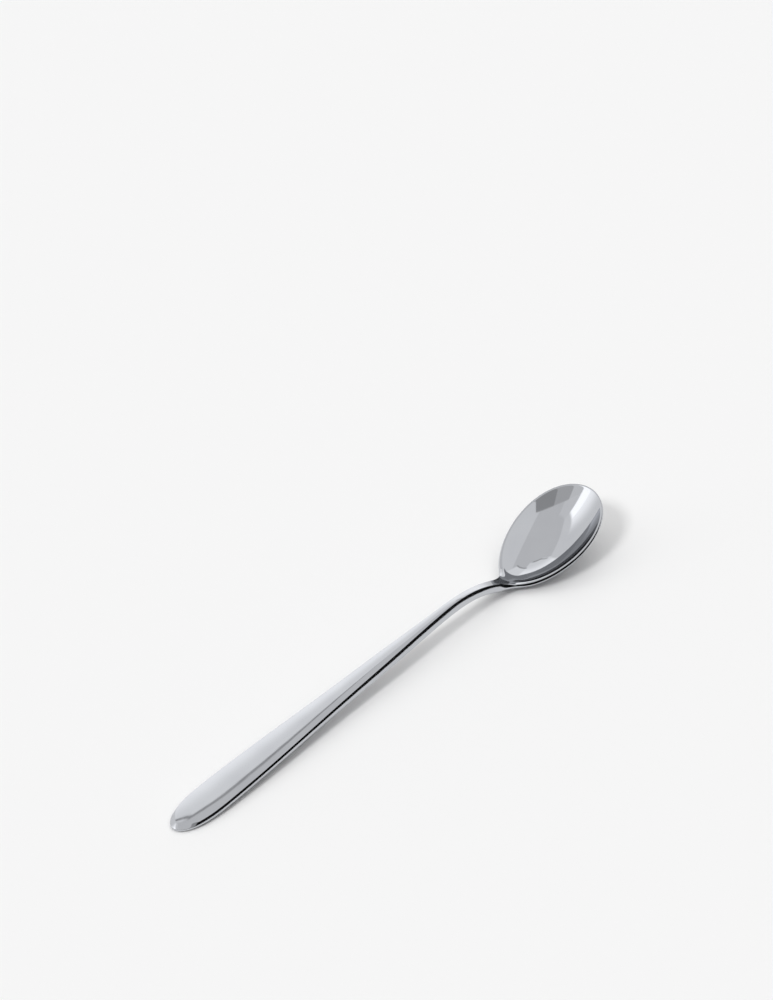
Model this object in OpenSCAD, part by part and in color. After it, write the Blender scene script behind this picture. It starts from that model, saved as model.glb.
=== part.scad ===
// Iced tea spoon of polished steel, lying bowl up on a table.
// X runs from the handle's tip to the bowl's tip, Y across and Z up, in millimetres.
// The origin is on the table, halfway along the spoon. The functions below count
// stations from the handle's tip, and each module moves its piece to the origin.

/* [Whole spoon] */
// Length from the handle's tip to the bowl's tip
overall_l = 200; // [190:1:210]
// Angle at which the handle climbs away from the table
handle_rise_deg = 4.3; // [3.7:0.1:4.8]
// Angle at which the neck drops into the bowl
neck_drop_deg = 31; // [27:0.5:35]
// Angle at which the bowl's rim climbs to its tip
rim_tilt_deg = 21.5; // [18:0.5:24]

/* [Handle] */
// Greatest width of the handle
handle_w = 12.9; // [11:0.1:14]
// Thickness of the handle at its edge
handle_edge_t = 1.9; // [1.7:0.05:2.3]
// Length of the rounded tip
handle_tip_l = 21; // [17:1:25]
// Height of the upper face's crown above the edges
handle_crown = 0.7; // [0.4:0.1:1]
// Depth of the underside's crown below the edges
handle_belly = 0.3; // [0.1:0.1:0.5]
// How far the upper edge's rounding reaches in over the face, and down the side
handle_round_in = 0.55; // [0.4:0.05:0.8]
handle_round_down = 0.9; // [0.7:0.05:1.1]
// How far the rounding reaches in at the very tip
tip_round_in = 1.6; // [1.2:0.1:2.2]

/* [Stem and neck] */
// Width of the neck where it is slimmest
neck_w = 3.1; // [2.8:0.1:3.7]
// Thickness of the neck at its edges
neck_edge_t = 3.1; // [2.7:0.1:3.4]
// Length of the neck, from the stem to the bowl's shoulder
neck_l = 25; // [20:1:30]
// How far the neck's upper rounding reaches in over the face, and down the side
neck_round_in = 1; // [0.8:0.05:1.1]
neck_round_down = 1.8; // [1.5:0.05:2]
// Softness of the bend from the stem down into the neck
neck_bend = 16; // [14:0.5:18]

/* [Bowl] */
// Length of the bowl's rim
bowl_l = 41; // [38:1:44]
// Greatest width of the bowl over its rim
bowl_w = 29; // [26:0.5:32]
// Depth of the hollow below the rim
bowl_depth = 8.2; // [7:0.1:9.4]
// Width of the rim's flat edge
wall_t = 0.8; // [0.7:0.05:1.1]
// Thickness of the bowl's floor
floor_t = 1.1; // [1:0.05:1.4]
// How far the rim's outer rounding reaches in, and down the side
rim_round_in = 0.45; // [0.3:0.05:0.5]
rim_round_down = 0.7; // [0.4:0.05:0.75]
// Rounding of the lower edges
under_r = 0.5; // [0.3:0.1:0.6]
// Length of the shoulder, from the neck to the rim's start
shoulder_l = 7.5; // [6:0.5:10]
// Distance from the neck to the hollow's start
hollow_gap = 4; // [3:0.5:5]
// Softness of the bend from the neck up to the rim
shoulder_bend = 5; // [4:0.5:7]

/* [Hidden] */

// Colours of the four sections, near the photographed steel
STEEL = "#C4C5C8";
STEEL_DARK = "#A9ABAF";

// Where the handle becomes the stem, as a share of the way from its tip to the neck
stem_place_share = 0.57;
// Stations where one section ends and the next begins
rim_start = overall_l - bowl_l;
neck_end = rim_start - shoulder_l;
neck_start = neck_end - neck_l;
handle_end = stem_place_share * neck_start;
hollow_start = neck_end + hollow_gap;

// Shares along the spoon, one at each tenth of its length from the handle's tip.
// Half widths are shares of the way from the neck to the handle.
width_shares = [0.98, 1, 0.88, 0.66, 0.48, 0.37, 0.13, 0, 0, 0, 0];
// How far the handle's section has turned into the neck's, and what is left of the crowns
neck_shares = [0, 0, 0, 0.1, 0.4, 0.75, 0.95, 1, 1, 1, 1];
crown_shares = [1, 1, 1, 0.95, 0.8, 0.6, 0.4, 0.3, 0, 0, 0];
// Place of the lists' last share, at the bowl's tip
last_span = len(width_shares) - 1;

// How full the rounded tip of the handle is, 2 being an ellipse
tip_power = 3.1;
// How much wider the bowl is towards its tip, and how softly its outline leaves the neck,
// as shares of half the rim's length
egg_share = 0.18;
flare_share = 0.062;
// How steep the bowl's wall is, and how soft the hollow's lip is
wall_curve = 1.4;
lip_share = 0.05;

// Mesh counts
tip_steps = 14;
bar_steps = 14;
bowl_steps = 56;
search_steps = 240;
corner_steps = 4;
flank_steps = 6;
floor_steps = 8;
// Lines that follow the outline: the last one's distance in, as a share of the rim's width, or of
// the rounding where that is more, and the most that it takes of the half width
ring_wall_share = 2.3;
ring_round_share = 1.6;
ring_reach_share = 0.76;
// At the tip they stay inside its radius, which they take this share of
ring_tip_share = 0.92;
// Where the tip's wider rounding has gone, as a share of the tip's length
tip_round_share = 0.35;
// Where the lines lie, as shares of the way from the rounding to the last one
ring_shares = [0.15, 0.38, 0.62, 1];
// Where the side is widest, as a share of the way down it, and the most that a rounding takes of
// the last line's distance in, and of the side's height above or below that
widest_share = 0.72;
round_ring_share = 0.86;
round_side_share = 0.92;
// How far the flank's curve is pulled to the sharp edge's place, from the side and from the face
side_pull = 0.1;
face_pull = 0.1;
// Step over which a slope is taken, as a share of the spoon's length
slope_step_share = 0.001;

// Smooth curve through a list of shares, at a place counted in spans of the list
function share_at(list, i) = list[min(max(i, 0), len(list) - 1)];
function blend4(a, b, c, d, t) =
    (pow(1 - t, 3) * a + (3 * pow(t, 3) - 6 * t * t + 4) * b
     + (3 * t + 3 * t * t - 3 * pow(t, 3) + 1) * c + pow(t, 3) * d) / 6;
function curve(list, place) =
    let (i = floor(place), t = place - i)
    blend4(share_at(list, i - 1), share_at(list, i), share_at(list, i + 1), share_at(list, i + 2), t);
function along(list, x) = curve(list, x / overall_l * last_span);

// Smooth maximum and minimum, a value softened at zero, a mix, even steps and an eased step
function soft_max(a, b, k) = max(a, b) + pow(max(k - abs(a - b), 0) / k, 3) * k / 6;
function soft_min(a, b, k) = min(a, b) - pow(max(k - abs(a - b), 0) / k, 3) * k / 6;
function soft_positive(v, k) = (v + sqrt(v * v + 4 * k * k)) / 2;
function mix(a, b, t) = a + (b - a) * t;
function even(a, b, steps) = [for (i = [0 : steps]) mix(a, b, i / steps)];
function ease(t) = let (s = min(max(t, 0), 1)) s * s * s * (10 - 15 * s + 6 * s * s);

// Place along the rim or the hollow, -1 at its start and 1 at its end
function egg_place(x, start, end) = (2 * x - start - end) / (end - start);
// Square of an egg's half width: soft_start shapes the end towards the neck
function egg(u, soft_start) = (1 - u) * (1 + egg_share * u) * soft_start;
egg_widest = egg(egg_share / 2, 1 + egg_share / 2);

// Squares of the half widths of the plain bar, the bowl's outline and the hollow's outline
function bar_half_w(x) = mix(neck_w, handle_w, along(width_shares, x)) / 2;
function tip_fullness(x) = 1 - pow(max(1 - x / handle_tip_l, 0), tip_power);
function bowl_outline(x) =
    let (u = egg_place(x, rim_start, overall_l))
    pow(bowl_w / 2, 2) * egg(u, soft_positive(1 + u, flare_share)) / egg_widest;
function stem_fade(x) = min((overall_l - x) / (overall_l - neck_end), 1);
function outline(x) =
    pow(bar_half_w(x), 2) * tip_fullness(x) * stem_fade(x)
    + bowl_outline(x) * ease((x - neck_start + neck_l) / (2 * neck_l));
function hollow_place(x) = egg_place(x, rim_start + wall_t, overall_l - wall_t);
function hollow_soft(u) =
    soft_positive(1 + u, flare_share) - soft_positive(1 + hollow_place(hollow_start), flare_share);
function hollow_outline(x) =
    let (u = hollow_place(x))
    pow(bowl_w / 2 - wall_t, 2) * egg(u, hollow_soft(u)) / egg_widest;

// Depth of the bowl's wall where its square distance in from the outline is a share of the whole
function dish(share) =
    bowl_depth * (sqrt(1 + wall_curve * max(share, 0)) - 1) / (sqrt(1 + wall_curve) - 1);
function bowl_part(x) = ease((x - neck_start) / neck_l);

// Sizes of the section at a station
function edge_t(x) =
    mix(mix(handle_edge_t, neck_edge_t, along(neck_shares, x)), floor_t,
        ease((x - neck_end + shoulder_l / 2) / (2 * shoulder_l)));
function rounding(x, handle_r, neck_r, rim_r) =
    mix(mix(handle_r, neck_r, along(neck_shares, x)), rim_r, ease((x - neck_end) / shoulder_l));
function edge_in(x) =
    mix(tip_round_in, rounding(x, handle_round_in, neck_round_in, rim_round_in),
        ease(x / (tip_round_share * handle_tip_l)));
function edge_down(x) = rounding(x, handle_round_down, neck_round_down, rim_round_down);

// Upper edge of the spoon's side: the handle's climb, the drop into the bowl and the rim's climb
function climb(x) = handle_edge_t + tan(handle_rise_deg) * x;
function drop(x) = -tan(neck_drop_deg) * (x - rim_start);
function rim(x) = tan(rim_tilt_deg) * (x - rim_start);
function bowl_under(x) =
    soft_max(drop(x), rim(x), shoulder_bend) - edge_t(x) - dish(outline(x) / pow(bowl_w / 2, 2));
// Height where the drop and the rim would meet, which sets the bowl's underside on the table
valley_z = -min([for (x = even(neck_end, overall_l, search_steps)) bowl_under(x)]);
function edge_z(x) =
    soft_max(soft_min(climb(x), valley_z + drop(x), neck_bend), valley_z + rim(x), shoulder_bend);

// Heights of the upper face and of the underside at a place inside the outline
function inside(x, y) = max(outline(x) - y * y, 0);
function crown(x, y) = along(crown_shares, x) * inside(x, y) / pow(bar_half_w(x), 2);
function hollow(x, y) =
    dish(soft_max((hollow_outline(x) - y * y) / pow(bowl_w / 2 - wall_t, 2), 0, lip_share));
function top_z(x, y) =
    edge_z(x) + handle_crown * crown(x, y) * (1 - bowl_part(x)) - hollow(x, y) * bowl_part(x + neck_l / 2);
function under_z(x, y) =
    edge_z(x) - edge_t(x) - handle_belly * crown(x, y) * (1 - bowl_part(x))
    - dish(inside(x, y) / pow(bowl_w / 2, 2)) * bowl_part(x);

// Direction in from the outline, seen from above: square to it at the tips and in the bowl,
// and straight across where the sections meet
slope_step = overall_l * slope_step_share;
function outline_slope(x) = (outline(x + slope_step) - outline(x - slope_step)) / (4 * slope_step);
function tip_turn(x) = 1 - ease(x / handle_tip_l);
function bowl_turn(x) = ease((x - neck_end) / shoulder_l);
function inward(x) =
    let (g = outline_slope(min(max(x, slope_step), overall_l - slope_step)) * (tip_turn(x) + bowl_turn(x)),
         w = sqrt(max(outline(x), 0)), n = norm([g, w]))
    [g / n, -w / n];
function reach(x) = sqrt(outline(min(max(x, handle_tip_l), overall_l - bowl_l / 2)));

// The most that lines which follow the outline may be in from it: the tip's radius at the tip
function tip_reach(x) =
    mix(ring_tip_share * tip_power * pow(bar_half_w(x), 2) / (2 * handle_tip_l), bowl_w,
        ease(x / handle_tip_l));

// Places in from the outline at a station, their heights, a rounded corner between two faces, and
// a flank, which leaves the side quickly and rolls slowly into the face
function place(x, inset) =
    let (n = inward(x), w = sqrt(max(outline(x), 0)))
    [x + n[0] * inset, w + n[1] * inset];
function on_top(x, inset) = let (p = place(x, inset)) [p[0], p[1], top_z(p[0], p[1])];
function on_under(x, inset) = let (p = place(x, inset)) [p[0], p[1], under_z(p[0], p[1])];
function corner(a, b, c) =
    [for (i = [0 : corner_steps]) let (t = i / corner_steps)
        (1 - t) * (1 - t) * a + 2 * t * (1 - t) * b + t * t * c];
function flank(a, b, c) =
    let (p = mix(a, b, side_pull), q = mix(c, b, face_pull))
    [for (i = [0 : flank_steps]) let (t = i / flank_steps, s = 1 - t)
        s * s * s * a + 3 * s * s * t * p + 3 * s * t * t * q + t * t * t * c];
function side_point(x, z) = let (p = place(x, 0)) [p[0], p[1], z];

// Half of the section at a station: along the underside, round the edge and back along the top
function half_section(x) =
    let (top = edge_z(x), under = top - edge_t(x), k = len(ring_shares) - 1,
         last_in = min(max(ring_wall_share * wall_t, ring_round_share * edge_in(x)),
                       ring_reach_share * reach(x), tip_reach(x)),
         round_in = min(edge_in(x), round_ring_share * last_in),
         widest = widest_share * edge_t(x),
         round_down = min(edge_down(x), round_side_share * widest),
         round_under = min(under_r, round_side_share * (edge_t(x) - widest)),
         insets = [for (share = ring_shares) mix(round_in, last_in, share)],
         deep = place(x, insets[k]))
    concat(
        [for (i = [0 : floor_steps - 1]) let (y = deep[1] * i / floor_steps)
            [deep[0], y, under_z(deep[0], y)]],
        [for (i = [k : -1 : 0]) on_under(x, insets[i])],
        corner(on_under(x, round_under), side_point(x, under), side_point(x, under + round_under)),
        flank(side_point(x, top - round_down), side_point(x, top), on_top(x, round_in)),
        [for (i = [0 : k]) on_top(x, insets[i])],
        [for (i = [floor_steps - 1 : -1 : 0]) let (y = deep[1] * i / floor_steps)
            [deep[0], y, top_z(deep[0], y)]]);

// Whole section: the half and its mirror image
function section(x) =
    let (half = half_section(x), n = len(half))
    concat(half, [for (i = [n - 2 : -1 : 1]) [half[i][0], -half[i][1], half[i][2]]]);

// Closed skin over a row of sections. A folded end is a tip, where both halves meet.
module skin(stations, fold_first = false, fold_last = false) {
    loops = [for (x = stations) section(x)];
    count = len(loops[0]);
    last = len(loops) - 1;
    function folded(i) = (i == 0 && fold_first) || (i == last && fold_last);
    function index(i, j) = i * count + (folded(i) ? min(j % count, count - j % count) : j % count);
    function patch(i, j) =
        let (a = index(i, j), b = index(i, j + 1), c = index(i + 1, j + 1), d = index(i + 1, j))
        j < count / 2 ? [[a, c, b], [a, d, c]] : [[a, d, b], [b, d, c]];
    sides = [for (i = [0 : last - 1], j = [0 : count - 1]) each patch(i, j)];
    start_cap = fold_first ? [] : [[for (j = [0 : count - 1]) index(0, j)]];
    end_cap = fold_last ? [] : [[for (j = [count - 1 : -1 : 0]) index(last, j)]];
    translate([-overall_l / 2, 0, 0])
        polyhedron([for (loop = loops) each loop], concat(sides, start_cap, end_cap));
}

// Flat, crowned grip with a full round tip
module handle() {
    tip_xs = [for (i = [0 : tip_steps - 1]) handle_tip_l * (1 - cos(90 * i / tip_steps))];
    color(STEEL) skin(concat(tip_xs, even(handle_tip_l, handle_end, bar_steps)), fold_first = true);
}

// Slim bar that narrows from the handle to the neck
module stem() {
    color(STEEL_DARK) skin(even(handle_end, neck_start, bar_steps));
}

// Rounded neck that bends over and drops to the bowl
module neck() {
    color(STEEL) skin(even(neck_start, neck_end, bar_steps));
}

// Hollow bowl with its shoulder and its flat, rounded rim
module bowl() {
    xs = [for (i = [0 : bowl_steps]) mix(neck_end, overall_l, sin(90 * i / bowl_steps))];
    color(STEEL_DARK) skin(xs, fold_last = true);
}

handle();
stem();
neck();
bowl();
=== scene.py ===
# %% [markdown]
# An iced tea spoon: a long slim handle, a stem, a bent neck and an oval bowl, pressed and forged
# from one blank of stainless steel and polished all over. The whole object is one smooth skin of
# mirror-like metal, so two things make the picture: how smooth that skin is, and what it mirrors.
# The CAD model gives the place and the size of everything. This lesson makes the skin again by
# the same rule, much finer, and then builds the finish, the studio and the camera.

# %% Load the CAD model
from math import cos, pi, radians, sin, tan

import bmesh
import bpy
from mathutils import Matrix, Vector


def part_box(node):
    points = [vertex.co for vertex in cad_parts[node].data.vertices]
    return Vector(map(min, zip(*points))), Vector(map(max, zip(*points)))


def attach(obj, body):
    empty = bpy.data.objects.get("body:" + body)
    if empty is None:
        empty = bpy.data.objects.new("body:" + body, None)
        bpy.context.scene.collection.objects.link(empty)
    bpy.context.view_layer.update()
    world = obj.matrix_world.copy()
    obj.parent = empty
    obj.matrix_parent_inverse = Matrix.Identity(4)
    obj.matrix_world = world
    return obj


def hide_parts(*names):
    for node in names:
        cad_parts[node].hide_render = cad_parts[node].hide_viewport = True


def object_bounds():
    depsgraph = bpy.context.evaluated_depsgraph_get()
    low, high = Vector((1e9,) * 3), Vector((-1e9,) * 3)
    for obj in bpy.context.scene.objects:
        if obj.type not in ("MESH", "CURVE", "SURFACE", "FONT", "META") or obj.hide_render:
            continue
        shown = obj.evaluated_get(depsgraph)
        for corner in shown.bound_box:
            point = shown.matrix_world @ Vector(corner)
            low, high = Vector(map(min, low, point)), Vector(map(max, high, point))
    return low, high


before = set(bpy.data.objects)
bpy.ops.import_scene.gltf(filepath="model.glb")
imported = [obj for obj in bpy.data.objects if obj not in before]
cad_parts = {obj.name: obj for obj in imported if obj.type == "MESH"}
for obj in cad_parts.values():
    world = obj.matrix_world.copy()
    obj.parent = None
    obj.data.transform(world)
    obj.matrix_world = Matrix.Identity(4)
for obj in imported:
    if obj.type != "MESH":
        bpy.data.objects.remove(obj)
cad_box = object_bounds()
MM = 0.001
print("CAD model:", [round(side / MM, 1) for side in cad_box[1] - cad_box[0]], "mm")

# %% [markdown]
# The sizes of the real spoon. The frame gives the whole length and the stations where one section
# ends and the next begins, counted from the handle's tip. The others were fitted to the photo of
# the object and are typed here once, in millimetres. Shares have no unit.

# %% Sizes
START = {name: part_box(name)[0].x - cad_box[0].x for name in ("stem", "neck", "bowl")}
SIZES = {
    "Whole length": cad_box[1].x - cad_box[0].x,
    "Neck start": START["neck"],
    "Neck end": START["bowl"],
    "Tip length": 21 * MM,
    "Tip fullness": 3.1,
    "Handle edge": 1.9 * MM,
    "Handle crown": 0.7 * MM,
    "Handle belly": 0.3 * MM,
    "Handle rounding in": 0.55 * MM,
    "Handle rounding down": 0.9 * MM,
    "Tip rounding in": 1.6 * MM,
    "Neck edge": 3.1 * MM,
    "Neck rounding in": 1 * MM,
    "Neck rounding down": 1.8 * MM,
    "Stem rounding less": 0.16 * MM,
    "Neck bend": 16 * MM,
    "Shoulder length": 7.5 * MM,
    "Shoulder bend": 5 * MM,
    "Bowl width": 29 * MM,
    "Bowl depth": 8.2 * MM,
    "Floor thickness": 1.1 * MM,
    "Rim width": 0.8 * MM,
    "Rim rounding in": 0.38 * MM,
    "Rim rounding down": 0.73 * MM,
    "Under rounding": 0.5 * MM,
    "Hollow gap": 4 * MM,
    "Handle slope": tan(radians(4.3)),
    "Neck slope": tan(radians(31)),
    "Rim slope": tan(radians(21.5)),
    "Egg share": 0.18,
    "Flare share": 0.062,
    "Wall curve": 1.4,
    "Lip share": 0.05,
}
HANDLE_WIDTH = 12.9 * MM
NECK_WIDTH = 3.1 * MM
print("sections begin at", {name: round(place / MM, 1) for name, place in START.items()}, "mm")

# %% [markdown]
# Four things change slowly along the bar that is forged into handle, stem and neck: its width,
# how far its section has turned from flat to round, how much of its crown is left, and where the
# stem's edges are rounded a little less. Each is a short list of shares, one at each tenth of the
# length, and a uniform cubic B-spline draws a smooth line along them. A B-spline bends without
# kinks, and on a mirror a kink would show.

# %% Slow changes along the spoon
SHARES = {
    "bar width": [0.98, 1, 0.88, 0.66, 0.48, 0.37, 0.13, 0, 0, 0, 0],
    "neck": [0, 0, 0, 0.1, 0.4, 0.75, 0.95, 1, 1, 1, 1],
    "crown": [1, 1, 1, 0.97, 1, 1.05, 0.75, 0.4, 0, 0, 0],
    "stem": [0, 0, 0, 0, 0.35, 0.9, 1, 0.4, 0, 0, 0],
}


def smooth_share(shares, place):
    """Value of a smooth line through evenly spaced shares, at a place counted in spans."""
    first = int(place)
    t = place - first
    a, b, c, d = (shares[min(max(first + k, 0), len(shares) - 1)] for k in (-1, 0, 1, 2))
    return ((1 - t) ** 3 * a + (3 * t**3 - 6 * t**2 + 4) * b
            + (3 * t + 3 * t**2 - 3 * t**3 + 1) * c + t**3 * d) / 6


# %% [markdown]
# The skin hangs on a spine: a row of points along the table line, one for each station where a
# section is drawn. Stations crowd together at both tips, where the outline turns fastest, and one
# lies exactly on each cut between two sections. The slow changes ride on the spine as attributes.

# %% The spine
STEPS = {"tip": 70, "handle": 130, "stem": 130, "neck": 90, "bowl": 220}


def stations():
    """Distances of the sections from the handle's tip, close together at both tips."""
    tip, whole = SIZES["Tip length"], SIZES["Whole length"]
    places = [tip * (1 - cos(pi / 2 * i / STEPS["tip"])) for i in range(STEPS["tip"])]
    ends = [tip, START["stem"], START["neck"], START["bowl"]]
    for name, start, end in zip(("handle", "stem", "neck"), ends, ends[1:]):
        places += [start + (end - start) * i / STEPS[name] for i in range(STEPS[name])]
    bowl = [sin(pi / 2 * i / STEPS["bowl"]) for i in range(STEPS["bowl"] + 1)]
    return places + [START["bowl"] + (whole - START["bowl"]) * share for share in bowl]


def make_spine():
    """Mesh of loose points along X, with the slow changes as attributes of its points."""
    places = stations()
    spine = bpy.data.meshes.new("spine")
    spine.from_pydata([(place, 0, 0) for place in places], [], [])
    span = SIZES["Whole length"] / (len(SHARES["neck"]) - 1)
    for name, shares in SHARES.items():
        values = [smooth_share(shares, place / span) for place in places]
        spine.attributes.new(name, "FLOAT", "POINT").data.foreach_set("value", values)
    return spine


spine_mesh = make_spine()
print("spine with", len(spine_mesh.vertices), "stations and the slow changes", list(SHARES))

# %% [markdown]
# The skin could be modelled by hand on a subdivided cage, but then its curvature would follow the
# cage and not the forging die. Here a Geometry Nodes tree works out every point by rule: the
# outline seen from above, the line of the upper edge seen from the side, and how deep the two
# faces lie between the edges. One helper adds any node, fills its inputs and returns its output.

# %% A helper that adds a node
PLUS = "ShaderNodeMath ADD"
LESS = "ShaderNodeMath SUBTRACT"
TIMES = "ShaderNodeMath MULTIPLY"
SCALE_ADD = "ShaderNodeMath MULTIPLY_ADD"
OVER = "ShaderNodeMath DIVIDE"
POWER = "ShaderNodeMath POWER"
ROOT = "ShaderNodeMath SQRT"
SIZE_OF = "ShaderNodeMath ABSOLUTE"
BELOW = "ShaderNodeMath LESS_THAN"
LOWEST = "ShaderNodeMath MINIMUM"
HIGHEST = "ShaderNodeMath MAXIMUM"
SOFT_LOW = "ShaderNodeMath SMOOTH_MIN"
SOFT_HIGH = "ShaderNodeMath SMOOTH_MAX"
RANGE = "ShaderNodeMapRange"
MIX = "ShaderNodeMix"
POINT = "ShaderNodeCombineXYZ"
SPLIT = "ShaderNodeSeparateXYZ"
PLACE = "GeometryNodeInputPosition"
EASED = {"interpolation_type": "SMOOTHERSTEP"}
VECTOR = {"data_type": "VECTOR"}
NUMBER = {"data_type": "FLOAT"}


def add(tree, kind, values=(), output=0, **settings):
    """Adds a node, fills its inputs and returns one of its outputs.

    The kind may end in an operation. The values are a list in the order of the inputs, or a
    dictionary by their names. Each is a plain value or the output of another node.
    """
    name, _, operation = kind.partition(" ")
    node = tree.nodes.new(name)
    if operation:
        node.operation = operation
    for key, value in settings.items():
        setattr(node, key, value)
    shown = [socket for socket in node.inputs if socket.enabled]
    pairs = values.items() if isinstance(values, dict) else enumerate(values)
    for key, value in pairs:
        socket = shown[key] if isinstance(key, int) else node.inputs[key]
        if isinstance(value, bpy.types.NodeSocket):
            tree.links.new(value, socket)
        else:
            socket.default_value = value
    return [socket for socket in node.outputs if socket.enabled][output]


# %% [markdown]
# A tree's inputs are its sizes. Every size above becomes a named input, so the tree can also be
# tried by hand in the editor. Each section of the spoon then gives it a start, an end and a finish.

# %% The tree and its named inputs
skin = bpy.data.node_groups.new("Spoon skin", "GeometryNodeTree")
skin.interface.new_socket("Skin", in_out="OUTPUT", socket_type="NodeSocketGeometry")
skin.interface.new_socket("Spine", in_out="INPUT", socket_type="NodeSocketGeometry")
for name, value in {**SIZES, "Piece start": 0, "Piece end": 0}.items():
    skin.interface.new_socket(name, in_out="INPUT", socket_type="NodeSocketFloat").default_value = value
skin.interface.new_socket("Finish", in_out="INPUT", socket_type="NodeSocketMaterial")
size = {socket.name: socket for socket in skin.nodes.new("NodeGroupInput").outputs}
half_bowl = add(skin, TIMES, [size["Bowl width"], 0.5])
half_hollow = add(skin, LESS, [half_bowl, size["Rim width"]])
neck_length = add(skin, LESS, [size["Neck end"], size["Neck start"]])
rim_start = add(skin, PLUS, [size["Neck end"], size["Shoulder length"]])
print("skin tree with", len(skin.interface.items_tree) - 1, "named inputs")

# %% [markdown]
# Seen from above, the bar is a round-tipped strip that fades out under the bowl, and the bowl is
# an egg. Both are kept as the square of the half width, because squares of two shapes add up to
# one smooth outline without a corner where they meet. The hollow is a second, smaller egg.

# %% Outline seen from above


def egg(u, start):
    """Square of an egg's half width, with u from -1 to 1 and start shaping the neck's end."""
    wide = add(skin, SCALE_ADD, [u, size["Egg share"], 1])
    return add(skin, TIMES, [add(skin, TIMES, [add(skin, LESS, [1, u]), wide]), start])


def soft_start(u):
    """1 + u, kept above zero by a soft floor, so that the egg runs out into the neck."""
    v = add(skin, PLUS, [1, u])
    flare = add(skin, TIMES, [size["Flare share"], 2])
    root = add(skin, ROOT, [add(skin, SCALE_ADD, [v, v, add(skin, TIMES, [flare, flare])])])
    return add(skin, TIMES, [add(skin, PLUS, [v, root]), 0.5])


middle = add(skin, TIMES, [size["Egg share"], 0.5])
egg_widest = egg(middle, add(skin, PLUS, [1, middle]))


def scaled_egg(u, start, half_width):
    """Square of the half width of an egg whose widest half width is given."""
    square = add(skin, TIMES, [half_width, half_width])
    return add(skin, TIMES, [add(skin, OVER, [egg(u, start), egg_widest]), square])


def outline(x, half_bar):
    """Square of the half width at station x, where the plain bar has the half width half_bar."""
    rest = add(skin, RANGE, [x, 0, size["Tip length"], 1, 0])
    round_tip = add(skin, LESS, [1, add(skin, POWER, [rest, size["Tip fullness"]])])
    fade = add(skin, RANGE, [x, size["Neck end"], size["Whole length"], 1, 0])
    bar = add(skin, TIMES, [half_bar, half_bar])
    bar = add(skin, TIMES, [bar, add(skin, TIMES, [round_tip, fade])])
    u = add(skin, RANGE, [x, rim_start, size["Whole length"], -1, 1], clamp=False)
    before_neck = add(skin, LESS, [size["Neck start"], neck_length])
    grown = add(skin, RANGE, [x, before_neck, size["Neck end"], 0, 1], **EASED)
    return add(skin, SCALE_ADD, [scaled_egg(u, soft_start(u), half_bowl), grown, bar])


def hollow_outline(x):
    """Square of the hollow's half width at station x."""
    low = add(skin, PLUS, [rim_start, size["Rim width"]])
    high = add(skin, LESS, [size["Whole length"], size["Rim width"]])
    u = add(skin, RANGE, [x, low, high, -1, 1], clamp=False)
    first = add(skin, PLUS, [size["Neck end"], size["Hollow gap"]])
    u_first = add(skin, RANGE, [first, low, high, -1, 1], clamp=False)
    return scaled_egg(u, add(skin, LESS, [soft_start(u), soft_start(u_first)]), half_hollow)


print("widest place of the egg is", round(SIZES["Egg share"] / 2, 2), "of its half length past the middle")

# %% [markdown]
# Seen from the side, the upper edge climbs along the handle, bends over at the neck, drops into
# the bowl and climbs again as the rim. Smooth Minimum and Smooth Maximum join the three straight
# lines with soft bends. The bowl's wall is a slice of a hyperbola: steep by the rim and round
# below, which is how a drawn bowl looks. The side thickens towards the neck and thins again over
# the shoulder, where its rounding turns into the rim's narrow bevel.

# %% Heights seen from the side
SHOULDER_FROM, SHOULDER_TO = -0.5, 1.5  # the side thins between these, in shoulder lengths


def dish(share):
    """Depth of the bowl's wall, where share is the squared distance in from its outline."""
    inside = add(skin, HIGHEST, [share, 0])
    deep = add(skin, ROOT, [add(skin, SCALE_ADD, [inside, size["Wall curve"], 1])])
    deepest = add(skin, ROOT, [add(skin, PLUS, [1, size["Wall curve"]])])
    part = add(skin, OVER, [add(skin, LESS, [deep, 1]), add(skin, LESS, [deepest, 1])])
    return add(skin, TIMES, [part, size["Bowl depth"]])


def edge_thickness(x, neck):
    """Thickness of the side at station x, where neck is how far the section has turned round."""
    bar = add(skin, RANGE, [neck, 0, 1, size["Handle edge"], size["Neck edge"]])
    start = add(skin, SCALE_ADD, [size["Shoulder length"], SHOULDER_FROM, size["Neck end"]])
    end = add(skin, SCALE_ADD, [size["Shoulder length"], SHOULDER_TO, size["Neck end"]])
    return add(skin, RANGE, [x, start, end, bar, size["Floor thickness"]], **EASED)


def edge_rounding(x, neck, way):
    """How far the side's upper rounding reaches at station x, where way is in or down."""
    bar = add(skin, RANGE, [neck, 0, 1, size["Handle rounding " + way], size["Neck rounding " + way]])
    return add(skin, RANGE, [x, size["Neck end"], rim_start, bar, size["Rim rounding " + way]], **EASED)


def drop_and_rim(x):
    """Heights of the neck's drop and of the rim's climb, both zero where the rim starts."""
    along = add(skin, LESS, [x, rim_start])
    drop = add(skin, TIMES, [along, add(skin, TIMES, [size["Neck slope"], -1])])
    return drop, add(skin, TIMES, [along, size["Rim slope"]])


def edge_height(x, valley):
    """Height of the upper edge at station x. The valley is where drop and rim would meet."""
    drop, rim = drop_and_rim(x)
    climb = add(skin, SCALE_ADD, [x, size["Handle slope"], size["Handle edge"]])
    bend = add(skin, SOFT_LOW, [climb, add(skin, PLUS, [drop, valley]), size["Neck bend"]])
    return add(skin, SOFT_HIGH, [bend, add(skin, PLUS, [rim, valley]), size["Shoulder bend"]])


print("bowl", round(SIZES["Bowl depth"] / MM, 1), "mm deep under its rim")

# %% [markdown]
# The spoon rests on the bowl's underside, so the valley's height is whatever puts the lowest point
# of that underside on the table. Attribute Statistic finds the lowest point along the spine.

# %% Where the bowl rests


def half_bar_width(share):
    """Half width of the plain bar, where share goes from the neck's width to the handle's."""
    return add(skin, RANGE, [share, 0, 1, NECK_WIDTH / 2, HANDLE_WIDTH / 2], clamp=False)


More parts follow.
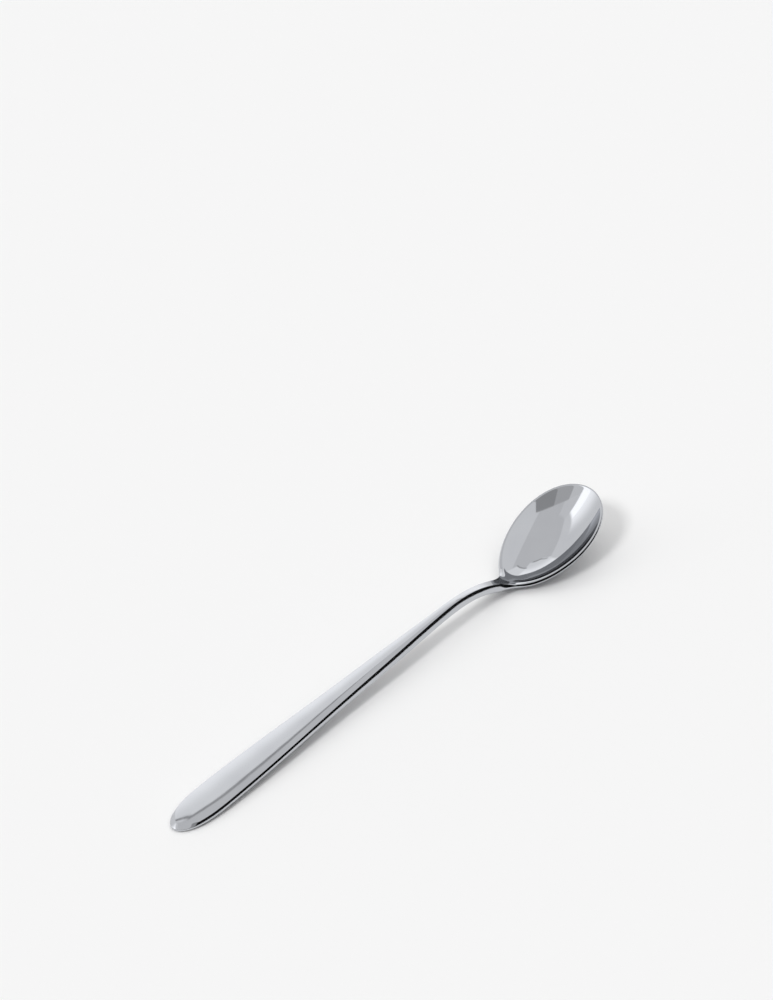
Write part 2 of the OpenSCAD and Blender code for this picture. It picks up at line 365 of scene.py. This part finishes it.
def bowl_share(square):
    """A square distance as a share of the bowl's half width squared."""
    return add(skin, OVER, [square, add(skin, TIMES, [half_bowl, half_bowl])])


slow = {name: add(skin, "GeometryNodeInputNamedAttribute", [name], **NUMBER) for name in SHARES}
spine_x = add(skin, SPLIT, [add(skin, PLACE)])
drop, rim = drop_and_rim(spine_x)
wall = dish(bowl_share(outline(spine_x, half_bar_width(slow["bar width"]))))
under = add(skin, LESS, [add(skin, SOFT_HIGH, [drop, rim, size["Shoulder bend"]]), wall])
under = add(skin, LESS, [under, edge_thickness(spine_x, slow["neck"])])
measured = {"Geometry": size["Spine"], "Attribute": under}
lowest = add(skin, "GeometryNodeAttributeStatistic", measured, output=3)
valley = add(skin, TIMES, [lowest, -1])
print("the bowl stands on the underside's lowest point, the statistic called", lowest.name)

# %% [markdown]
# The skin starts as a flat grid with one row for each station and one column for each step round
# the section. A column's number says which face it is on, and how far it has come: up the side,
# round the corner, in over the rim, and across the floor to the middle.

# %% Rows and columns of the grid
ROUND_STEPS = {"side": 2, "corner": 14, "rim": 16, "floor": 34}
quarter = sum(ROUND_STEPS.values())
columns = 4 * quarter + 1
rows = len(spine_mesh.vertices)
grid = add(skin, "GeometryNodeMeshGrid", {"Vertices X": rows, "Vertices Y": columns})
index = add(skin, "GeometryNodeInputIndex")
row = add(skin, "FunctionNodeIntegerMath DIVIDE_FLOOR", [index, columns])
column = add(skin, "FunctionNodeIntegerMath MODULO", [index, columns])

on_row = {}
for name, field in {"x": spine_x, **slow}.items():
    wanted = {"Geometry": size["Spine"], "Value": field, "Index": row}
    on_row[name] = add(skin, "GeometryNodeSampleIndex", wanted, **NUMBER)
x, neck = on_row["x"], on_row["neck"]
half_bar = half_bar_width(on_row["bar width"])

from_right = add(skin, SIZE_OF, [add(skin, LESS, [column, 2 * quarter])])
step = add(skin, LESS, [quarter, add(skin, SIZE_OF, [add(skin, LESS, [from_right, quarter])])])
left_or_right = add(skin, RANGE, [add(skin, BELOW, [from_right, quarter]), 0, 1, -1, 1])
on_top = add(skin, BELOW, [column, 2 * quarter + 0.5])
done = {}
first = 0
for name, count in ROUND_STEPS.items():
    done[name] = add(skin, RANGE, [step, first, first + count, 0, 1])
    first += count
print("grid of", rows, "rows and", columns, "columns")

# %% [markdown]
# Near both tips the outline turns, and rows straight across the spoon would cut the thin rim at a
# slant. So the rows turn there too, square to the outline, and stay straight at the cuts.

# %% Directions in from the outline
SLOPE_STEP = 0.2 * MM
last_x = add(skin, LESS, [size["Whole length"], SLOPE_STEP])
safe_x = add(skin, HIGHEST, [add(skin, LOWEST, [x, last_x]), SLOPE_STEP])
ahead = outline(add(skin, PLUS, [safe_x, SLOPE_STEP]), half_bar)
behind = outline(add(skin, LESS, [safe_x, SLOPE_STEP]), half_bar)
# The square's slope is twice the half width times the outline's slope, so this is 4 and not 2
slope = add(skin, OVER, [add(skin, LESS, [ahead, behind]), 4 * SLOPE_STEP])
turn = add(skin, PLUS, [add(skin, RANGE, [x, 0, size["Tip length"], 1, 0], **EASED),
                        add(skin, RANGE, [x, size["Neck end"], rim_start, 0, 1], **EASED)])
half_width = add(skin, ROOT, [add(skin, HIGHEST, [outline(x, half_bar), 0])])
inward = add(skin, "ShaderNodeVectorMath NORMALIZE", [
    add(skin, POINT, [add(skin, TIMES, [slope, turn]), add(skin, TIMES, [half_width, -1]), 0])])
inward_x, inward_y = add(skin, SPLIT, [inward]), add(skin, SPLIT, [inward], output=1)
print("slopes are read over", round(2 * SLOPE_STEP / MM, 1), "mm")

# %% [markdown]
# Coined cutlery has no sharp upper edge: the face rolls over into a sloping flank, and the side is
# widest near its foot. So the next values say how far the rounding reaches in and down, and how
# deep the band is that follows the rim before the columns cross the floor. Both stay short of the
# middle where the bar is thin, and short of the tip's own radius, past which rows would cross.

# %% How far the edges roll over
BAND_IN_RIMS = 2.3  # depth of the band, in rim widths
BAND_IN_ROUNDINGS = 1.6  # or in roundings, where that is more
BAND_MOST = 0.76  # at most this much of the half bar
TIP_BAND_MOST = 0.46  # and of the width of the circle that fits the tip
TIP_ROUNDED = 0.35  # how much of the tip's length has the tip's own rounding
ROUNDING_IN_MOST = 0.86  # of the band
ROUNDING_DOWN_MOST = 0.92  # of what lies above or below the widest line
WIDEST_LINE = 0.72  # how far down the side it is widest

tip_rounded = add(skin, TIMES, [size["Tip length"], TIP_ROUNDED])
bar_in = edge_rounding(x, neck, "in")
edge_in = add(skin, RANGE, [x, 0, tip_rounded, size["Tip rounding in"], bar_in], **EASED)
bar_square = add(skin, TIMES, [half_bar, half_bar])
tip_circle = add(skin, OVER, [add(skin, TIMES, [size["Tip fullness"], bar_square]), size["Tip length"]])
tip_most = add(skin, TIMES, [tip_circle, TIP_BAND_MOST])
tip_reach = add(skin, RANGE, [x, 0, size["Tip length"], tip_most, half_bowl], **EASED)
in_rims = add(skin, TIMES, [size["Rim width"], BAND_IN_RIMS])
band = add(skin, HIGHEST, [in_rims, add(skin, TIMES, [edge_in, BAND_IN_ROUNDINGS])])
band = add(skin, LOWEST, [band, add(skin, LOWEST, [add(skin, TIMES, [half_bar, BAND_MOST]), tip_reach])])
top_in = add(skin, LOWEST, [edge_in, add(skin, TIMES, [band, ROUNDING_IN_MOST])])

thickness = edge_thickness(x, neck)
widest = add(skin, TIMES, [thickness, WIDEST_LINE])
below_widest = add(skin, LESS, [thickness, widest])
less_down = add(skin, TIMES, [on_row["stem"], size["Stem rounding less"]])
top_down = add(skin, LESS, [edge_rounding(x, neck, "down"), less_down])
top_down = add(skin, LOWEST, [top_down, add(skin, TIMES, [widest, ROUNDING_DOWN_MOST])])
under_most = add(skin, TIMES, [below_widest, ROUNDING_DOWN_MOST])
under_round = add(skin, LOWEST, [size["Under rounding"], under_most])
print("side is widest at", WIDEST_LINE, "of the way down")

# %% [markdown]
# Past the rounding a point lies on one of the two faces. The upper face is the edge's height with
# a low crown on the bar and a hollow in the bowl. The lower face lies a wall's thickness further
# down. Along the neck the crown fades out as the bowl grows.

# %% The upper and the lower face
round_in = add(skin, RANGE, [on_top, 0, 1, under_round, top_in])
inset = add(skin, RANGE, [done["rim"], 0, 1, round_in, band])
face_x = add(skin, SCALE_ADD, [inward_x, inset, x])
to_middle = add(skin, LESS, [1, done["floor"]])
face_y = add(skin, TIMES, [add(skin, SCALE_ADD, [inward_y, inset, half_width]), to_middle])

face_outline = outline(face_x, half_bar)
y_square = add(skin, TIMES, [face_y, face_y])
inside = add(skin, HIGHEST, [add(skin, LESS, [face_outline, y_square]), 0])
crown = add(skin, OVER, [add(skin, TIMES, [on_row["crown"], inside]), bar_square])
face_edge = edge_height(face_x, valley)
hollow_inside = add(skin, OVER, [add(skin, LESS, [hollow_outline(face_x), y_square]),
                                 add(skin, TIMES, [half_hollow, half_hollow])])
hollow = dish(add(skin, SOFT_HIGH, [hollow_inside, 0, size["Lip share"]]))
half_neck = add(skin, TIMES, [neck_length, 0.5])
hollow_from, hollow_to = (add(skin, LESS, [size[name], half_neck]) for name in ("Neck start", "Neck end"))
hollow_grown = add(skin, RANGE, [face_x, hollow_from, hollow_to, 0, -1], **EASED)
along_neck = [face_x, size["Neck start"], size["Neck end"]]
crown_left = add(skin, RANGE, along_neck + [size["Handle crown"], 0], **EASED)
belly_left = add(skin, RANGE, along_neck + [size["Handle belly"], 0], **EASED)
bowl_grown = add(skin, RANGE, along_neck + [0, 1], **EASED)
top_z = add(skin, SCALE_ADD, [crown, crown_left, add(skin, SCALE_ADD, [hollow, hollow_grown, face_edge])])
wall_below = add(skin, SCALE_ADD, [crown, belly_left, edge_thickness(face_x, neck)])
wall_below = add(skin, SCALE_ADD, [dish(bowl_share(inside)), bowl_grown, wall_below])
under_z = add(skin, LESS, [face_edge, wall_below])
face_z = add(skin, RANGE, [on_top, 0, 1, under_z, top_z])
print("handle's crown", round(SIZES["Handle crown"] / MM, 2), "mm high")

# %% [markdown]
# A curve with four control points draws the rounding, from the side's widest line to the face. The
# two middle points lie a little way towards the place that a sharp edge would have, so the flank
# between them is nearly straight, as a coined bevel is. Mixing neighbours in pairs until one point
# is left gives the curve. Past the corner the same formula just follows the face.

# %% From the side's widest line to the face
SIDE_PULL, FACE_PULL = 0.1, 0.1  # how far towards the sharp edge the middle points lie

edge = edge_height(x, valley)
corner_z = add(skin, RANGE, [on_top, 0, 1, add(skin, LESS, [edge, thickness]), edge])
middle_z = add(skin, LESS, [edge, widest])
round_z = add(skin, RANGE, [on_top, 0, 1, under_round, add(skin, TIMES, [top_down, -1])])
side_z = add(skin, RANGE, [done["side"], 0, 1, middle_z, add(skin, PLUS, [corner_z, round_z])])

start_point = add(skin, POINT, [x, half_width, side_z])
corner_point = add(skin, POINT, [x, half_width, corner_z])
face_point = add(skin, POINT, [face_x, face_y, face_z])
control = [start_point,
           add(skin, MIX, [SIDE_PULL, start_point, corner_point], **VECTOR),
           add(skin, MIX, [FACE_PULL, face_point, corner_point], **VECTOR),
           face_point]
while len(control) > 1:
    pairs = zip(control, control[1:])
    control = [add(skin, MIX, [done["corner"], one, two], **VECTOR) for one, two in pairs]
sided = add(skin, "ShaderNodeVectorMath MULTIPLY", [control[0], add(skin, POINT, [1, left_or_right, 1])])
back_half = add(skin, TIMES, [size["Whole length"], -0.5])
centred = add(skin, "ShaderNodeVectorMath ADD", [sided, add(skin, POINT, [back_half, 0, 0])])
print("rounding curve with", ROUND_STEPS["corner"], "steps round the edge")

# %% [markdown]
# The grid is set in place and its seam and tips are merged. The whole spoon's normals are kept in
# an attribute before the piece is cut out, so that neighbouring pieces shade as one skin.

# %% From grid to piece
MERGE_DISTANCE = 0.0001 * MM
NORMALS = "skin normal"
placed = add(skin, "GeometryNodeSetPosition", {"Geometry": grid, "Position": centred})
merged = add(skin, "GeometryNodeMergeByDistance", {"Geometry": placed, "Distance": MERGE_DISTANCE})
smooth = add(skin, "GeometryNodeSetShadeSmooth", {"Geometry": merged})
to_keep = {"Geometry": smooth, "Name": NORMALS, "Value": add(skin, "GeometryNodeInputNormal")}
kept = add(skin, "GeometryNodeStoreNamedAttribute", to_keep, data_type="FLOAT_VECTOR")
face_place = add(skin, SPLIT, [add(skin, PLACE)])
outside = add(skin, PLUS, [add(skin, BELOW, [face_place, size["Piece start"]]),
                           add(skin, BELOW, [size["Piece end"], face_place])])
piece = add(skin, "GeometryNodeDeleteGeometry", {"Geometry": kept, "Selection": outside}, domain="FACE")
real = add(skin, "GeometryNodeRealizeInstances", {"Geometry": piece})
finished = add(skin, "GeometryNodeSetMaterial", {"Geometry": real, "Material": size["Finish"]})
skin.links.new(finished, skin.nodes.new("NodeGroupOutput").inputs[0])
print("skin tree with", len(skin.nodes), "nodes")

# %% [markdown]
# Polished stainless steel: the blank is ground, then buffed on cloth wheels along its length. The
# eye gets a mirror, a little grey and cool. Buffing leaves fine lines along the handle, and faint
# waves that bend the mirrored edges. An image could hold both, but noise on Object coordinates
# keeps them at their real size, and stretching it along X turns specks into lines. Real lines are
# a few hundredths of a millimetre apart, too fine to show here, so they are drawn 0.35 mm wide.

# %% Polished stainless steel
LINE_LENGTH, LINE_WIDTH, LINE_DEPTH = 14 * MM, 0.35 * MM, 0.001 * MM
WAVE_LENGTH, WAVE_DEPTH = 9 * MM, 0.012 * MM
LINE_FROM, LINE_TO = 0.3, 0.7  # the part of the noise's range that its values fill
ROUGH_LOW, ROUGH_HIGH = 0.035, 0.08
STEEL_DARK, STEEL_LIGHT = "#BEC0C5", "#C6C8CC"


def colour(code):
    """An sRGB hex colour as linear red, green, blue and alpha."""
    shares = [int(code[i:i + 2], 16) / 255 for i in (1, 3, 5)]
    return tuple(s / 12.92 if s <= 0.04045 else ((s + 0.055) / 1.055) ** 2.4 for s in shares) + (1,)


def polished_steel():
    """A cool grey mirror, with the fine lines and faint waves that buffing leaves."""
    steel = bpy.data.materials.new("polished stainless steel")
    steel.use_nodes = True
    tree = steel.node_tree
    tree.nodes.clear()
    place = add(tree, "ShaderNodeTexCoord", output=3)
    line_scale = (1 / LINE_LENGTH, 1 / LINE_WIDTH, 1 / LINE_WIDTH)
    stretched = add(tree, "ShaderNodeMapping", {"Vector": place, "Scale": line_scale})
    lines = add(tree, "ShaderNodeTexNoise", {"Vector": stretched, "Scale": 1, "Detail": 2})
    waves = add(tree, "ShaderNodeTexNoise", {"Vector": place, "Scale": 1 / WAVE_LENGTH, "Detail": 1})
    height = add(tree, TIMES, [lines, LINE_DEPTH])
    height = add(tree, SCALE_ADD, [waves, WAVE_DEPTH, height])
    shader = add(tree, "ShaderNodeBsdfPrincipled", {
        "Base Color": add(tree, MIX, [waves, colour(STEEL_DARK), colour(STEEL_LIGHT)], data_type="RGBA"),
        "Metallic": 1,
        "Roughness": add(tree, RANGE, [lines, LINE_FROM, LINE_TO, ROUGH_LOW, ROUGH_HIGH]),
        "Normal": add(tree, "ShaderNodeBump", {"Strength": 1, "Distance": 1, "Height": height})})
    tree.links.new(shader, tree.nodes.new("ShaderNodeOutputMaterial").inputs["Surface"])
    return steel


steel = polished_steel()
print(steel.name, "with", len(steel.node_tree.nodes), "nodes")

# %% [markdown]
# A section cut out of the skin is an open tube. Its cut ends get a flat cap, so that each piece is
# a closed body, and the kept normals go on the skin, so that no seam shows between two pieces.

# %% Caps and normals


def close_ends(mesh):
    """Caps the open cuts of a mesh and returns the number of its first cap."""
    work = bmesh.new()
    work.from_mesh(mesh)
    before = len(work.faces)
    bmesh.ops.holes_fill(work, edges=[edge for edge in work.edges if edge.is_boundary])
    work.to_mesh(mesh)
    work.free()
    return before


def keep_normals(mesh, first_cap):
    """Gives the skin's faces the whole spoon's normals, and the caps their own."""
    stored = mesh.attributes[NORMALS].data
    normals = []
    for face in mesh.polygons:
        for vertex in face.vertices:
            normals.append(face.normal if face.index >= first_cap else stored[vertex].vector)
    mesh.normals_split_custom_set(normals)
    mesh.attributes.remove(mesh.attributes[NORMALS])


# %% [markdown]
# The tree runs once for each section, on a helper object that carries the spine, and the result is
# turned into a plain mesh. The spoon has no joints, so all four pieces ride on the root.

# %% Pieces


def make_section(name, start, end):
    """Runs the tree for one section and returns its plain, closed object."""
    helper = bpy.data.objects.new(name + "_helper", spine_mesh)
    bpy.context.scene.collection.objects.link(helper)
    modifier = helper.modifiers.new("Spoon skin", "NODES")
    modifier.node_group = skin
    settings = {**SIZES, "Piece start": start, "Piece end": end, "Finish": steel}
    for socket in skin.interface.items_tree:
        if socket.name in settings:
            modifier[socket.identifier] = settings[socket.name]
    evaluated = helper.evaluated_get(bpy.context.evaluated_depsgraph_get())
    mesh = bpy.data.meshes.new_from_object(evaluated)
    bpy.data.objects.remove(helper)
    mesh.name = name
    keep_normals(mesh, close_ends(mesh))
    section = bpy.data.objects.new(name, mesh)
    bpy.context.scene.collection.objects.link(section)
    return section


nodes = list(START)
half_length = SIZES["Whole length"] / 2
cuts = [-half_length - MM] + [START[name] - half_length for name in nodes] + [half_length + MM]
for node, start, end in zip(["handle"] + nodes, cuts, cuts[1:]):
    section = make_section(node + "_steel", start, end)
    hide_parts(node)
    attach(section, "root")
    print(section.name, len(section.data.polygons), "faces")

# %% [markdown]
# The camera looks down at 38 degrees from the left, past the handle to the bowl, with a long lens
# from a little over a metre away. Both were found by fitting the spoon's outline.

# %% Camera
LOOK_AT = Vector((66.6, 62.5, 0)) * MM
CAMERA_HEADING_DEG = 312.2
CAMERA_ELEVATION_DEG = 38
CAMERA_DISTANCE = 1208 * MM
LENS_MM = 126
SENSOR_MM = 36

away = Vector((sin(radians(CAMERA_HEADING_DEG)) * cos(radians(CAMERA_ELEVATION_DEG)),
               -cos(radians(CAMERA_HEADING_DEG)) * cos(radians(CAMERA_ELEVATION_DEG)),
               sin(radians(CAMERA_ELEVATION_DEG))))
lens = bpy.data.cameras.new("camera")
lens.lens, lens.sensor_width = LENS_MM, SENSOR_MM
camera = bpy.data.objects.new("camera", lens)
camera.location = LOOK_AT + away * CAMERA_DISTANCE
camera.rotation_mode = "QUATERNION"
camera.rotation_quaternion = (-away).to_track_quat("-Z", "Y")
bpy.context.scene.collection.objects.link(camera)
bpy.context.scene.camera = camera
print("camera at", [round(value / MM) for value in camera.location], "mm")

# %% [markdown]
# The spoon lies on white paper, which is matt and has no pattern at this distance. It is written
# as the pale grey that the picture shows, because the light adds up to about 1, and a colour then
# renders about as it is written.

# %% Floor
FLOOR_SIZE = 6.0
PAPER_GREY, PAPER_ROUGHNESS = "#F4F4F4", 0.9
half = FLOOR_SIZE / 2
floor_mesh = bpy.data.meshes.new("floor")
floor_corners = [(-half, -half, 0), (half, -half, 0), (half, half, 0), (-half, half, 0)]
floor_mesh.from_pydata(floor_corners, [], [(0, 1, 2, 3)])
floor = bpy.data.objects.new("floor", floor_mesh)
bpy.context.scene.collection.objects.link(floor)
paper = bpy.data.materials.new("white paper floor")
paper.use_nodes = True
finish = paper.node_tree.nodes["Principled BSDF"].inputs
finish["Base Color"].default_value = colour(PAPER_GREY)
finish["Roughness"].default_value = PAPER_ROUGHNESS
finish["Specular IOR Level"].default_value = 0
floor_mesh.materials.append(paper)
print("floor", FLOOR_SIZE, "m wide")

# %% [markdown]
# A polished spoon shows the room, so the room is half of the light. Lamps alone would give white
# dots on black metal. The room is pale all round, as a photographer's tent is, with a white sweep
# behind, a strip of window on the left, and the dark room round the camera and on the right, which
# draws the crisp dark line along the edges. The world's shader draws all of it by direction: how
# far round a direction lies, counted in degrees to the left from straight behind the spoon, and
# how high above the horizon.

# %% The room
BACK_DEG = 42.2  # straight behind the spoon, seen from the camera, counted from the X axis
ROOM = 0.93  # brightness of the plain room, where 1 is white
scene = bpy.context.scene
scene.view_settings.view_transform = "Standard"
studio = bpy.data.worlds.new("studio")
scene.world = studio
studio.use_nodes = True
room = studio.node_tree
room.nodes.clear()
towards = add(room, "ShaderNodeTexCoord")
height = add(room, SPLIT, [towards], output=2)
elevation = add(room, "ShaderNodeMath DEGREES", [add(room, "ShaderNodeMath ARCSINE", [height])])


def turned(degrees, output):
    """How far ahead (0) or left (1) a direction goes, when ahead is this far left of the back."""
    about = {"Vector": towards, "Angle": radians(-BACK_DEG - degrees)}
    place = add(room, "ShaderNodeVectorRotate", about, rotation_type="Z_AXIS")
    return add(room, SPLIT, [place], output=output)


def window(value, low, high, soft):
    """1 between low and high, 0 outside, with eased edges."""
    rise = add(room, RANGE, [value, low - soft / 2, low + soft / 2, 0, 1], **EASED)
    fall = add(room, RANGE, [value, high - soft / 2, high + soft / 2, 1, 0], **EASED)
    return add(room, TIMES, [rise, fall])


print("plain room of brightness", ROOM)

# %% [markdown]
# Over the table hangs a diffuser, a little dimmer than the room. Its edges are straight lines on
# the ceiling, so it is drawn on a ceiling at height 1: how far a direction goes aside or ahead
# there is that part of it divided by its height. In front of it the camera's dark room begins.

# %% The diffuser overhead
DIFFUSER_TURN_DEG = -7
DIFFUSER_RIGHT, DIFFUSER_LEFT = -0.74, 0.54
DIFFUSER_FRONT = -1.0
DIFFUSER_SOFT = 0.08
DIFFUSER_BRIGHT = 0.79
DIFFUSER_FADE_DEG, DIFFUSER_FADE_SOFT_DEG = 20, 10
FAR_AWAY = 90  # in ceiling heights
ABOVE_ZENITH = 100  # in degrees
NEVER_FLAT = 0.02  # keeps the height above zero, because it divides
on_ceiling = add(room, HIGHEST, [height, NEVER_FLAT])
aside = add(room, OVER, [turned(DIFFUSER_TURN_DEG, 1), on_ceiling])
forward = add(room, OVER, [turned(0, 0), on_ceiling])
front_edge = window(forward, DIFFUSER_FRONT, FAR_AWAY, DIFFUSER_SOFT)
diffuser = add(room, TIMES, [window(aside, DIFFUSER_RIGHT, DIFFUSER_LEFT, DIFFUSER_SOFT), front_edge])
overhead = window(elevation, DIFFUSER_FADE_DEG, ABOVE_ZENITH, DIFFUSER_FADE_SOFT_DEG)
diffuser = add(room, TIMES, [diffuser, overhead])
level = add(room, MIX, [diffuser, ROOM, DIFFUSER_BRIGHT])
print("diffuser of brightness", DIFFUSER_BRIGHT)

# %% [markdown]
# The rest of the room is drawn with cards, one over the other. The numbers of a card are: its
# middle, counted to the left from straight behind the spoon, and half its width; its lowest and
# highest edge above the horizon; how soft its edges are, sideways and upwards; how steeply those
# two edges fall, in degrees of height for each degree to the left; and how bright it is, where 1 is
# white. A card that goes on past the zenith stops where the diffuser begins.

# %% The cards
CARDS = {
    "sweep behind": (7, 22, -90, 56.5, 3, 3, 0, 1.04),
    "middle of the sweep": (7, 21, 8, 40, 3, 28, 0, 1.38),
    "foot of the sweep": (7, 24, -90, 4, 6, 14, 0, 0.72),
    "wing of the sweep": (-26, 12, -90, 43, 3, 2, 0, 1.1),
    "gap above the sweep": (3, 11, 56.6, 58.8, 1.6, 1.6, 0, 0.42),
    "ceiling by the cut corner": (23, 9, 53, 90, 2, 2, 0.75, 0.79),
    "gap along the cut corner": (19, 6, 52, 54, 1.6, 1.6, 0.75, 0.36),
    "gap beside the sweep": (-26, 14, 43.4, 45.6, 2, 1.6, 0, 0.45),
    "glow of the window": (108, 26, -90, 47, 44, 5, 0, 1.5),
    "strip of window on the left": (108, 9, -90, 46, 5, 4, 0, 1.78),
    "wall beside the window": (134, 16, -90, 56, 2, 4, 0, 0.88),
    "grey wall beside the camera": (134, 16, -90, ABOVE_ZENITH, 2, 2, 0, 0.84),
    "lit part of the dark room": (160, 18, -90, ABOVE_ZENITH, 3, 3, 0, 0.58),
    "dark room round the camera": (-161.5, 21, -90, ABOVE_ZENITH, 2, 2, 0, 0.41),
    "black floor behind the camera": (175, 50, -90, 21, 4, 4, 0, 0.02),
    "black room on the right": (-130, 95, -90, 17, 4, 4, 0, 0.01),
}
for name, (middle, half_card, low, high, soft_aside, soft_up, lean, bright) in CARDS.items():
    angle = add(room, "ShaderNodeMath ARCTAN2", [turned(middle, 1), turned(middle, 0)])
    angle = add(room, "ShaderNodeMath DEGREES", [angle])
    leaning = add(room, SCALE_ADD, [angle, lean, elevation])
    card = window(angle, -half_card, half_card, soft_aside)
    card = add(room, TIMES, [card, window(leaning, low, high, soft_up)])
    if high == ABOVE_ZENITH:
        card = add(room, TIMES, [card, add(room, LESS, [1, front_edge])])
    level = add(room, MIX, [card, level, bright])
    print(name, "at", middle, "degrees, brightness", bright)

# %% [markdown]
# The room does three jobs, and Light Path tells them apart. The paper is lit by the same room, but
# more from above, as under a big soft box, because that keeps the shade round the spoon narrow.
# What steel shows by way of more steel, as inside the rim, is dimmed: double reflections on the
# object are darker than this shader alone makes them. The camera itself sees a plain background.

# %% What the paper, the steel and the camera see
FOR_PAPER = 1.72
FROM_ABOVE = 2  # power of the height, so 0 would light the paper evenly from all round
TWICE_MIRRORED, MORE_MIRRORED = 0.62, 1.4  # share left after a second mirror, and power for more
BACKGROUND = 0.922
rays = add(room, "ShaderNodeLightPath").node.outputs
from_above = add(room, POWER, [add(room, HIGHEST, [height, 0]), FROM_ABOVE])
on_paper = add(room, TIMES, [from_above, FOR_PAPER])
level = add(room, TIMES, [level, add(room, RANGE, [rays["Is Diffuse Ray"], 0, 1, 1, on_paper])])
more_steel = add(room, LESS, [add(room, HIGHEST, [rays["Glossy Depth"], 1]), 1])
more_steel = add(room, POWER, [more_steel, MORE_MIRRORED])
level = add(room, TIMES, [level, add(room, POWER, [TWICE_MIRRORED, more_steel])])
level = add(room, MIX, [rays["Is Camera Ray"], level, BACKGROUND])
light = add(room, "ShaderNodeBackground", {"Color": colour("#FFFFFF"), "Strength": level})
room.links.new(light, room.nodes.new("ShaderNodeOutputWorld").inputs["Surface"])
print("world with", len(room.nodes), "nodes")

# %% [markdown]
# The other half of the light is a lamp from the front left, half way up, which throws the soft
# shadow to the right. It is a sun lamp with a wide disc, so that every part of the shadow is
# equally soft for its height. Metal doesn't show it, or the bowl would have a white dot that a
# real diffuser wouldn't leave.

# %% The key lamp
KEY_LEFT_DEG = 144
KEY_HEIGHT_DEG = 46
KEY_SOFT_DEG = 12
KEY_STRENGTH = 1.1

from_lamp = radians(BACK_DEG + KEY_LEFT_DEG)
key = bpy.data.lights.new("key lamp", "SUN")
key.energy = KEY_STRENGTH
key.angle = radians(KEY_SOFT_DEG)
key_lamp = bpy.data.objects.new("key lamp", key)
to_lamp = Vector((cos(from_lamp), sin(from_lamp), tan(radians(KEY_HEIGHT_DEG))))
key_lamp.rotation_mode = "QUATERNION"
key_lamp.rotation_quaternion = to_lamp.to_track_quat("Z", "Y")
key_lamp.visible_glossy = False
scene.collection.objects.link(key_lamp)
print(key_lamp.name, KEY_HEIGHT_DEG, "degrees up, strength", KEY_STRENGTH)
